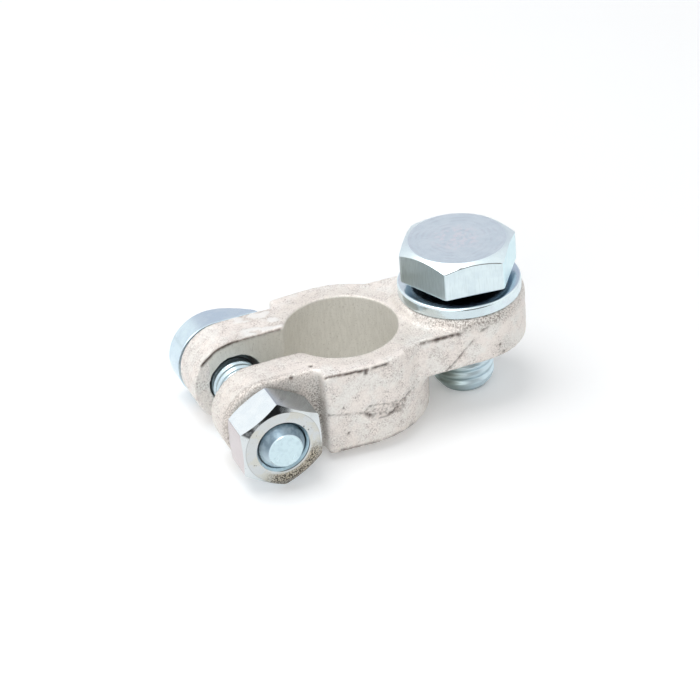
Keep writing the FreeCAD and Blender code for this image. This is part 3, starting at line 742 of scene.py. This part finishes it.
def cast_material():
    """Rough as-cast, pale metal: warm off-white with fine specks, brownish chips and smooth cut faces."""
    material = bpy.data.materials.new("as_cast")
    graph = Graph(material)
    place = graph.millimetres()
    broad = graph.noise(place, 0.3, 3)
    patch = graph.noise(place, 0.55, 3)
    sand = graph.noise(place, 3.4, 3, 0.7)
    speck = graph.noise(place, 4.6, 2, 0.5)
    base = graph.mix(graph.span(broad, 0.4, 0.6), CAST_WARM, CAST_PALE)
    spared = graph.span(graph.attribute("clean"), 0.0, 1.0, 1.0, 0.45)
    base = graph.mix(graph.times(graph.attribute("sandy"), 0.55), base, CAST_SAND)
    blotch = graph.times(graph.span(sand, 0.40, 0.62), graph.span(patch, 0.38, 0.62, 0.35, 0.85), spared)
    base = graph.mix(blotch, base, CAST_BLOTCH)
    specks = graph.times(graph.span(speck, 0.58, 0.66), graph.span(patch, 0.4, 0.6, 0.1, 0.75))
    base = graph.mix(specks, base, CAST_SPECK)
    grit = graph.noise(place, 3.8, 2, 0.55)
    # Dark speckle: dust, and painted shade about the nut, the shoulder and the washer
    dusty_shade = graph.times(graph.attribute("dust_and_shade"), graph.span(grit, 0.45, 0.6, 0.18, 0.92))
    base = graph.mix(dusty_shade, base, CAST_DUST_AND_SHADE)

    cut = graph.attribute("cut")
    drawn = graph.noise(graph.stretched(place, (1.0, 1.0, 0.22)), 2.4, 3, 0.6)
    milled = graph.mix(graph.span(drawn, 0.35, 0.65), CUT_DULL, CUT_BRIGHT)
    milled = graph.mix(graph.span(speck, 0.6, 0.68, 0.0, 0.45), milled, CUT_SPECK)
    base = graph.mix(cut, base, milled)

    worn = graph.attribute("worn")
    base = graph.mix(graph.times(worn, 0.85), base, CAST_WORN)
    # Dirt in the marks, and painted shade along the ring's foot
    dirt_and_shade = graph.mix(graph.span(sand, 0.4, 0.6), DIRT_AND_SHADE_BLACK, DIRT_AND_SHADE_BROWN)
    base = graph.mix(graph.attribute("dark"), base, dirt_and_shade)
    rough = graph.math("SUBTRACT", graph.span(sand, 0.3, 0.7, 0.42, 0.62), graph.times(worn, 0.16))
    height = graph.mix_numbers(0.45, sand, speck)
    strength = graph.span(graph.math("MAXIMUM", cut, graph.times(worn, 0.8)), 0.0, 1.0, 0.85, 0.18)
    shader = graph.add("ShaderNodeBsdfPrincipled", {
        "Base Color": base,
        "Metallic": 0.3,
        "Roughness": rough,
        "Normal": graph.bump(height, strength, 0.13 * MM),
    })
    graph.finish(shader)
    return material


class Plate(Graph):
    """Bright blue-white zinc plate, to be marked and then closed into a shader."""

    def __init__(self, name, pale, deep):
        self.material = bpy.data.materials.new(name)
        super().__init__(self.material)
        self.place = self.millimetres()
        self.x, self.y, self.z = self.split(self.place)
        self.out = self.radius(self.x, self.y)
        self.cloud = self.noise(self.place, 0.5, 3)
        self.fine = self.noise(self.place, 4.5, 3, 0.6)
        self.base = self.mix(self.span(self.cloud, 0.35, 0.65), pale, deep)
        self.rough = self.span(self.cloud, 0.3, 0.7, 0.16, 0.25)

    def roughen(self, share, amount):
        self.rough = self.math("ADD", self.rough, self.times(share, amount))

    def stain(self, share, colour):
        self.base = self.mix(share, self.base, colour)

    def facing(self, degrees, low, high):
        """Share of the directions round the axis that lie near the given one, as cosines."""
        turn = math.radians(degrees)
        aside = self.math("ADD", self.times(self.x, math.cos(turn)), self.times(self.y, math.sin(turn)))
        return self.span(self.math("DIVIDE", aside, self.out), low, high)

    def ring(self, radius, near, far, strength):
        """Thin ring round the axis: at full strength within near of the radius, gone beyond far."""
        away = self.math("ABSOLUTE", self.math("SUBTRACT", self.out, radius))
        return self.span(away, near, far, strength, 0.0)

    def close(self, height, strength):
        shader = self.add("ShaderNodeBsdfPrincipled", {
            "Base Color": self.base,
            "Metallic": 1.0,
            "Roughness": self.rough,
            "Normal": self.bump(height, strength, 0.03 * MM),
        })
        self.finish(shader)
        return self.material


# Cosines between which a patch ends that covers one flat of a hexagon, 30 degrees from the flat's middle
FLAT_EDGE = (0.861, 0.868)

# Colours of the zinc plate and of the marks on the terminal bolt, several of them painted reflections and
# painted shade
ZINC_PALE = (0.75, 0.86, 0.89, 1)
ZINC_DEEP = (0.70, 0.81, 0.85, 1)
ARC_GREY = (0.60, 0.66, 0.72, 1)
MOTTLE_SHEEN_PALE = (0.88, 0.87, 0.89, 1)
BRUSH_GREY = (0.56, 0.66, 0.68, 1)
LEFT_FLAT_DARK_REFLECTION = (0.49, 0.58, 0.62, 1)
RIGHT_FLAT_CYAN_REFLECTION = (0.64, 0.90, 0.96, 1)
UNDER_HEAD_SHADE_BLUE = (0.20, 0.27, 0.34, 1)
UNDER_HEAD_SHADE_BLACK = (0.07, 0.085, 0.10, 1)
SHANK_BLUE = (0.52, 0.66, 0.74, 1)
SHANK_LEFT_REFLECTION = (0.25, 0.31, 0.28, 1)
TIP_SHADE = (0.22, 0.29, 0.30, 1)
BURR_BLACK = (0.10, 0.095, 0.09, 1)


def terminal_bolt_material():
    """Arcs and a pale mottle on the top, partly painted sheen; brushed flats, two with painted reflections;
    painted shade under the head and at the tip, a painted reflection on the shank's left, and a fine burr
    along one edge.
    """
    plate = Plate("zinc_terminal_bolt", ZINC_PALE, ZINC_DEEP)
    on_top = plate.span(plate.z, TERMINAL_HEAD - 0.06, TERMINAL_HEAD - 0.01)
    on_side = plate.times(plate.span(plate.z, 0.3, 0.5), plate.math("SUBTRACT", 1.0, on_top))
    wobble = plate.noise(plate.place, 0.35, 2)
    turned = plate.math("ADD", plate.times(plate.out, 6.5), plate.times(wobble, 7.0))
    arcs = plate.math("SINE", turned)
    broken = plate.span(plate.noise(plate.place, 0.45, 2), 0.4, 0.65)
    plate.stain(plate.times(on_top, broken, plate.span(arcs, -0.6, 1.0, 0.0, 0.3)), ARC_GREY)
    # Pale mottle in the middle of the top: uneven plate, and painted brighter reflections
    middle = plate.span(plate.out, 2.0, 5.2, 1.0, 0.0)
    mottle = plate.span(plate.noise(plate.place, 1.2, 4, 0.6), 0.42, 0.62, 0.0, 0.65)
    plate.stain(plate.times(on_top, middle, mottle), MOTTLE_SHEEN_PALE)

    brushed = plate.noise(plate.stretched(plate.place, (3.2, 3.2, 0.3)), 1.6, 3, 0.6)
    plate.stain(plate.times(on_side, plate.span(brushed, 0.45, 0.7, 0.0, 0.35)), BRUSH_GREY)
    over_flat = plate.math("ADD", plate.z, plate.times(plate.out, HEX_SLOPE))
    brim = TERMINAL_HEAD + HEX_SLOPE * TERMINAL_TOP
    on_flat = plate.times(on_side, plate.span(over_flat, brim - 0.02, brim - 0.06))
    # Painted reflections: darker on the near left flat, cyan on the near right flat
    left_flat = plate.times(on_flat, plate.facing(TERMINAL_TURN + 210, *FLAT_EDGE))
    plate.stain(plate.times(left_flat, plate.span(brushed, 0.3, 0.7, 0.65, 1.0)), LEFT_FLAT_DARK_REFLECTION)
    right_flat = plate.times(on_flat, plate.facing(TERMINAL_TURN + 330, *FLAT_EDGE))
    plate.stain(plate.times(right_flat, 0.6), RIGHT_FLAT_CYAN_REFLECTION)

    # Painted shade under the head: dark blue, and nearly black low on the washer face and the top of the
    # shank
    under_head = plate.times(plate.span(plate.z, 0.58, 0.5), plate.span(plate.z, -2.0, -1.0))
    plate.stain(plate.times(under_head, 0.8), UNDER_HEAD_SHADE_BLUE)
    plate.stain(plate.times(under_head, plate.span(plate.z, 0.45, 0.35), 0.85), UNDER_HEAD_SHADE_BLACK)
    on_shank = plate.span(plate.z, -1.2, -0.8, 1.0, 0.0)
    plate.stain(plate.times(on_shank, 0.6), SHANK_BLUE)
    # Painted darker reflection on the shank's left side
    left_reflection = plate.span(plate.math("DIVIDE", plate.x, plate.out), 0.1, -0.9, 0.0, 0.85)
    plate.stain(plate.times(on_shank, left_reflection), SHANK_LEFT_REFLECTION)
    tip = plate.span(plate.z, 0.9 - TERMINAL_LENGTH, 0.2 - TERMINAL_LENGTH, 0.0, 0.55)
    plate.stain(plate.times(on_shank, tip), TIP_SHADE)
    plate.stain(plate.attribute("burr"), BURR_BLACK)

    height = plate.math("ADD", plate.fine, plate.times(on_top, arcs, 0.3))
    height = plate.math("ADD", height, plate.times(on_side, brushed, 1.2))
    plate.roughen(plate.math("MAXIMUM", on_side, plate.times(on_shank, 1.6)), 0.13)
    return plate.close(height, plate.span(plate.z, -0.3, 0.1, 0.06, 0.22))


# Colours of the pinch bolt: its plate, the end of its shank and the thread in the ears
PINCH_PALE = (0.66, 0.79, 0.86, 1)
PINCH_DEEP = (0.61, 0.74, 0.83, 1)
END_BLUE = (0.62, 0.77, 0.82, 1)
END_DIMPLE = (0.48, 0.62, 0.68, 1)
CONE_SHADE = (0.14, 0.20, 0.25, 1)
THREAD_GREY = (0.50, 0.62, 0.66, 1)
HOLE_SHADE = (0.07, 0.08, 0.09, 1)


def pinch_bolt_material():
    """Plain bright head, greyer thread with a shade in the far ear, and a dark cone round a dimpled end."""
    plate = Plate("zinc_pinch_bolt", PINCH_PALE, PINCH_DEEP)
    from_end = plate.math("ADD", plate.z, PINCH_LENGTH)
    on_end = plate.span(from_end, 0.02, 0.1, 1.0, 0.0)
    on_cone = plate.times(plate.span(from_end, 0.1, 0.25), plate.span(from_end, 3.4, 2.9))
    plate.stain(on_end, END_BLUE)
    dimples = plate.span(plate.noise(plate.place, 1.4, 3), 0.45, 0.7, 0.0, 0.5)
    plate.stain(plate.times(on_end, dimples), END_DIMPLE)
    below_head = plate.span(plate.z, -0.3, 0.0, 0.45, 0.0)
    plate.stain(plate.times(below_head, plate.span(from_end, 3.0, 3.6)), THREAD_GREY)
    in_ear = plate.times(plate.span(plate.z, *EAR_SHADE_START), plate.span(plate.z, *EAR_SHADE_END))
    plate.stain(plate.times(in_ear, 0.85), HOLE_SHADE)
    # Painted shade on the upper side of the cone, its strength mottled by noise
    upper = plate.span(plate.math("DIVIDE", plate.y, plate.out), 0.5, -0.6)
    dull = plate.span(plate.noise(plate.place, 1.2, 3), 0.35, 0.6, 0.78, 0.95)
    plate.stain(plate.times(on_cone, upper, dull), CONE_SHADE)
    plate.roughen(plate.math("MAXIMUM", on_cone, plate.span(plate.z, -0.3, 0.1, 0.5, 0.0)), 0.2)
    return plate.close(plate.fine, plate.span(plate.z, -0.3, 0.1, 0.06, 0.2))


# Colours of the nut: its plate, its flats, and its outer face with the chamfer and countersink; some are
# painted reflections and painted shade
NUT_PALE = (0.83, 0.89, 0.92, 1)
NUT_DEEP = (0.78, 0.85, 0.89, 1)
DARK_FLAT_REFLECTION = (0.36, 0.40, 0.42, 1)
PINK_FLAT_REFLECTION = (0.565, 0.515, 0.525, 1)
CHAMFER_GREY = (0.69, 0.73, 0.74, 1)
CHAMFER_DARK_REFLECTION = (0.085, 0.09, 0.095, 1)
FACE_GREY = (0.60, 0.625, 0.63, 1)
FACE_RIM = (0.36, 0.38, 0.38, 1)
FACE_YELLOW = (0.60, 0.585, 0.50, 1)
FACE_SPECK = (0.12, 0.12, 0.13, 1)
BAND_BROWN = (0.47, 0.41, 0.30, 1)
MOUTH_SHADE_BLACK = (0.04, 0.04, 0.045, 1)
SINK_BLUE = (0.42, 0.52, 0.53, 1)


def nut_material():
    """Grey outer face, painted reflections on one chamfer and two flats, painted shade at the countersink's
    lower right, and a speckled band low on the right.
    """
    plate = Plate("zinc_nut", NUT_PALE, NUT_DEEP)
    over_flat = plate.math("ADD", plate.z, plate.times(plate.out, HEX_SLOPE))
    brim = NUT_TALL + HEX_SLOPE * NUT_FACE
    on_chamfer = plate.span(over_flat, brim - 0.06, brim - 0.02)
    on_end = plate.times(on_chamfer, plate.span(plate.z, NUT_TALL - 0.9, NUT_TALL - 0.8))
    on_face = plate.span(plate.z, NUT_TALL - 0.05, NUT_TALL - 0.02)
    on_end = plate.math("MAXIMUM", on_end, on_face)
    beside = plate.math("SUBTRACT", 1.0, on_end)
    plate.stain(on_end, CHAMFER_GREY)
    plate.stain(on_face, FACE_GREY)
    # Painted reflections: dark on the upper right flat, pinkish on the left flat
    plate.stain(plate.times(beside, plate.facing(NUT_TURN + 30, *FLAT_EDGE), 0.78), DARK_FLAT_REFLECTION)
    plate.stain(plate.times(beside, plate.facing(NUT_TURN + 150, *FLAT_EDGE)), PINK_FLAT_REFLECTION)

    plate.stain(plate.times(on_end, plate.ring(NUT_FACE, 0.03, 0.1, 0.5)), FACE_RIM)
    # Painted dark reflection on the chamfer's upper left, streaked by noise
    chamfer = plate.times(on_end, plate.span(plate.out, NUT_FACE + 0.02, NUT_FACE + 0.1))
    dark_side = plate.facing(NUT_TURN + 88, 0.85, 0.88)
    streak = plate.span(plate.noise(plate.place, 1.1, 2), 0.3, 0.55, 0.6, 0.95)
    plate.stain(plate.times(chamfer, dark_side, streak), CHAMFER_DARK_REFLECTION)
    yellow = plate.span(plate.noise(plate.place, 0.45, 3), 0.46, 0.6, 0.0, 0.55)
    plate.stain(plate.times(on_face, yellow), FACE_YELLOW)

    low_right = plate.facing(-66, 0.4, 0.82)
    band = plate.times(on_end, low_right, plate.span(plate.out, 4.6, 5.0))
    plate.stain(plate.times(band, 0.75), BAND_BROWN)
    gritty = plate.span(plate.noise(plate.place, 4.0, 4, 0.7), 0.44, 0.55)
    inner = plate.span(plate.out, 4.7, 5.5, 0.5, 1.0)
    plate.stain(plate.times(band, inner, gritty, 0.95), DIRT_AND_SHADE_BLACK)

    # Painted shade in the dark gap at the countersink's lower right
    mouth = plate.ring(NUT_MOUTH, 0.05, 0.16, 0.95)
    plate.stain(plate.times(on_end, plate.facing(-50, 0.45, 0.8), mouth), MOUTH_SHADE_BLACK)
    in_mouth = plate.span(plate.out, NUT_MOUTH + 0.02, NUT_MOUTH - 0.04)
    sink = plate.times(in_mouth, plate.span(plate.z, NUT_TALL - 0.8, NUT_TALL - 0.6))
    plate.stain(plate.times(sink, 0.5), SINK_BLUE)
    specks = plate.span(plate.noise(plate.place, 1.7, 2, 0.5), 0.7, 0.74, 0.0, 0.9)
    plate.stain(plate.times(on_end, specks), FACE_SPECK)
    return plate.close(plate.fine, 0.1)


# Colours of the washer's smear, and of its painted reflections and painted shade
SMEAR_LILAC = (0.66, 0.70, 0.78, 1)
WASHER_RIM_REFLECTION = (0.60, 0.70, 0.73, 1)
WASHER_RIGHT_REFLECTION = (0.40, 0.52, 0.64, 1)
WASHER_HEAD_REFLECTION = (0.13, 0.19, 0.27, 1)
WASHER_CRESCENT_SHADE = (0.17, 0.22, 0.30, 1)


def washer_material():
    """Smeared plate with painted reflections, a grey rim at the near left, a bluer right side and the head's
    dark underside mirrored below it, and painted shade in a dark crescent below the head.
    """
    plate = Plate("zinc_washer", ZINC_PALE, ZINC_DEEP)
    smear = plate.span(plate.noise(plate.place, 0.7, 3), 0.45, 0.65, 0.0, 0.35)
    plate.stain(smear, SMEAR_LILAC)
    # Painted reflections: grey on the near left rim, bluer on the right side
    rim = plate.times(plate.facing(242, 0.75, 0.95), plate.span(plate.out, 9.9, 9.98))
    plate.stain(plate.times(rim, 0.7), WASHER_RIM_REFLECTION)
    right = plate.times(plate.facing(330, 0.3, 0.9), plate.span(plate.out, 9.85, 9.6))
    plate.stain(plate.times(right, 0.6), WASHER_RIGHT_REFLECTION)
    # Painted reflection of the head's dark underside on the washer's top
    under_head = plate.times(plate.span(plate.out, 8.5, 8.1, 0.0, 0.55), plate.facing(248, 0.45, 0.85))
    plate.stain(under_head, WASHER_HEAD_REFLECTION)
    # Painted shade in the gap below the head
    crescent = plate.times(plate.facing(256, 0.88, 0.97), plate.span(plate.out, 9.45, 9.2))
    plate.stain(plate.times(crescent, 0.8), WASHER_CRESCENT_SHADE)
    return plate.close(plate.fine, 0.16)


def dress(piece, material, body, node):
    """Give a piece its material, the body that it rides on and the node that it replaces."""
    piece.data.materials.clear()
    piece.data.materials.append(material)
    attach(piece, body)
    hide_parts(node)


def build_pieces():
    dress(make_casting(), cast_material(), "clamp", "clamp_body")
    dress(make_terminal_bolt(), terminal_bolt_material(), "terminal_bolt", "terminal_bolt")
    dress(make_pinch_bolt(), pinch_bolt_material(), "pinch_bolt", "pinch_bolt")
    dress(make_pinch_nut(), nut_material(), "pinch_nut", "pinch_nut")
    dress(make_washer(), washer_material(), "washer", "terminal_washer")


# Floor: half its width in metres, then in mm the gap below the bolt's end and that end's reach sideways
FLOOR_HALF = 3.0
FLOOR_GAP = 0.02
FLOOR_TIP = 4.0
FLOOR_PAPER = (0.94, 0.945, 0.95, 1)
FLOOR_LIFT = 0.15
WHITE = (1, 1, 1, 1)


def make_floor():
    """White floor, tipped a little so that it lies close under the bolt's end, the nut and the head."""
    bolt_end = np.array((TERMINAL_X, 0, BOLT_LOW[2]))
    nut_foot = np.array((PINCH_X, NUT_LOW[1], NUT_LOW[2]))
    head_foot = np.array((PINCH_X, PINCH_HIGH[1], PINCH_LOW[2]))
    normal = np.cross(nut_foot - bolt_end, bolt_end - head_foot)
    normal = normal / np.linalg.norm(normal)
    if normal[2] < 0:
        normal = -normal
    turn = Vector((0, 0, 1)).rotation_difference(Vector(normal))
    half = FLOOR_HALF
    corners = [(-half, -half, 0), (half, -half, 0), (half, half, 0), (-half, half, 0)]
    mesh = bpy.data.meshes.new("floor")
    mesh.from_pydata(corners, [], [(0, 1, 2, 3)])
    # The tipped floor is lowered, so that it meets the rim of the bolt's end and not its middle
    low = Vector(bolt_end) - Vector(normal) * FLOOR_GAP
    tip = FLOOR_TIP * math.sin(turn.angle)
    place = Matrix.Translation((low - Vector((0, 0, tip))) * MM) @ turn.to_matrix().to_4x4()
    floor = add_object("floor", mesh, place)
    mesh.materials.append(floor_material())


def floor_material():
    """White paper, a little lifted where the camera or a bright metal sees it."""
    material = bpy.data.materials.new("floor_white")
    graph = Graph(material)
    path = graph.add("ShaderNodeLightPath").node
    seen = graph.math("MAXIMUM", path.outputs["Is Camera Ray"], path.outputs["Is Glossy Ray"])
    paper = graph.add("ShaderNodeBsdfDiffuse", {"Color": FLOOR_PAPER})
    lift = graph.add("ShaderNodeEmission", {"Color": WHITE, "Strength": graph.times(seen, FLOOR_LIFT)})
    graph.finish(graph.add("ShaderNodeAddShader", {0: paper, 1: lift}))
    return material


# What the bright metal mirrors: direction and colour of each patch of the studio, and the cosines of its edge
STUDIO_GREY = (0.71, 0.70, 0.76, 1)
STUDIO_DARK = (0.03, 0.032, 0.035, 1)
STUDIO = (
    ((0.36, 0.76, 0.46), STUDIO_GREY, 0.72, 0.93),
    ((0.26, -0.84, 0.42), STUDIO_DARK, 0.95, 0.975),
    ((0.02, -0.93, 0.38), STUDIO_DARK, 0.95, 0.975),
    ((-0.22, -0.92, 0.30), STUDIO_DARK, 0.955, 0.98),
    ((-0.40, -0.90, 0.15), STUDIO_DARK, 0.965, 0.985),
)
AMBIENT_COLOUR = (0.97, 0.985, 1.0, 1)
AMBIENT_STRENGTH = 0.48
SHINE_STRENGTH = 1.08


def make_world():
    """Even soft light for matt surfaces, the studio for shiny ones, and plain white for the camera."""
    world = bpy.data.worlds.new("studio")
    bpy.context.scene.world = world
    graph = Graph(world)
    way = graph.add("ShaderNodeTexCoord", output="Generated")
    mirrored = WHITE
    for aim, colour, low, high in STUDIO:
        aim = Vector(aim).normalized()
        facing = graph.add("ShaderNodeVectorMath", {0: way, 1: aim}, output="Value", operation="DOT_PRODUCT")
        mirrored = graph.mix(graph.span(facing, low, high), mirrored, colour)
    light_path = graph.add("ShaderNodeLightPath").node
    ambient = graph.add("ShaderNodeBackground", {"Color": AMBIENT_COLOUR, "Strength": AMBIENT_STRENGTH})
    shine = graph.add("ShaderNodeBackground", {"Color": mirrored, "Strength": SHINE_STRENGTH})
    backdrop = graph.add("ShaderNodeBackground", {"Color": WHITE, "Strength": 1.0})
    lit = graph.add("ShaderNodeMixShader", {
        0: light_path.outputs["Is Glossy Ray"], 1: ambient, 2: shine,
    })
    shown = graph.add("ShaderNodeMixShader", {
        0: light_path.outputs["Is Camera Ray"], 1: lit, 2: backdrop,
    })
    graph.finish(shown, "ShaderNodeOutputWorld")


# Square softboxes: name, place and power of each, and the point that all of them face, in metres
SOFTBOX_SIZE = 0.4
SOFTBOX_AIM = (0.004, 0, 0.01)
SOFTBOXES = (
    ("key", (-0.12, 0.06, 0.55), 1.62),
    ("front_fill", (-0.35, -0.45, 0.3), 0.85),
)


def make_lights():
    for name, place, power in SOFTBOXES:
        data = bpy.data.lights.new(name, "AREA")
        data.shape = "SQUARE"
        data.size = SOFTBOX_SIZE
        data.energy = power
        lamp = bpy.data.objects.new(name, data)
        bpy.context.scene.collection.objects.link(lamp)
        lamp.location = place
        lamp.rotation_mode = "QUATERNION"
        lamp.rotation_quaternion = (Vector(SOFTBOX_AIM) - Vector(place)).to_track_quat("-Z", "Y")


# Camera found from the photograph's edges: it looks at the middle of the ring's top. Angles are in degrees,
# lengths in mm but for the near limit in metres, and the shift in shares of the picture's width
CAMERA_TARGET = (0, 0, RING_TOP)
CAMERA_DISTANCE = 527.1
CAMERA_AZIMUTH = -20.07
CAMERA_ELEVATION = 31.92
CAMERA_ROLL = -4.34
CAMERA_LENS = 170.55
CAMERA_SENSOR = 36
CAMERA_SHIFT = (0.01313, -0.03414)
CAMERA_NEAR_LIMIT = 0.01


def make_camera():
    azimuth, elevation = math.radians(CAMERA_AZIMUTH), math.radians(CAMERA_ELEVATION)
    back = Vector((
        math.sin(azimuth) * math.cos(elevation),
        -math.cos(azimuth) * math.cos(elevation),
        math.sin(elevation),
    ))
    right = Vector((math.cos(azimuth), math.sin(azimuth), 0))
    level = Matrix((right, back.cross(right), back)).transposed()
    roll = Matrix.Rotation(math.radians(CAMERA_ROLL), 3, "Z")
    data = bpy.data.cameras.new("camera")
    data.lens = CAMERA_LENS
    data.sensor_width = CAMERA_SENSOR
    data.shift_x, data.shift_y = CAMERA_SHIFT
    data.clip_start = CAMERA_NEAR_LIMIT
    camera = bpy.data.objects.new("camera", data)
    bpy.context.scene.collection.objects.link(camera)
    camera.matrix_world = Matrix.Translation(
        Vector(CAMERA_TARGET) * MM + back * CAMERA_DISTANCE * MM
    ) @ (level @ roll).to_4x4()
    bpy.context.scene.camera = camera


build_pieces()
make_floor()
make_world()
make_lights()
make_camera()
bpy.context.scene.view_settings.view_transform = "Standard"
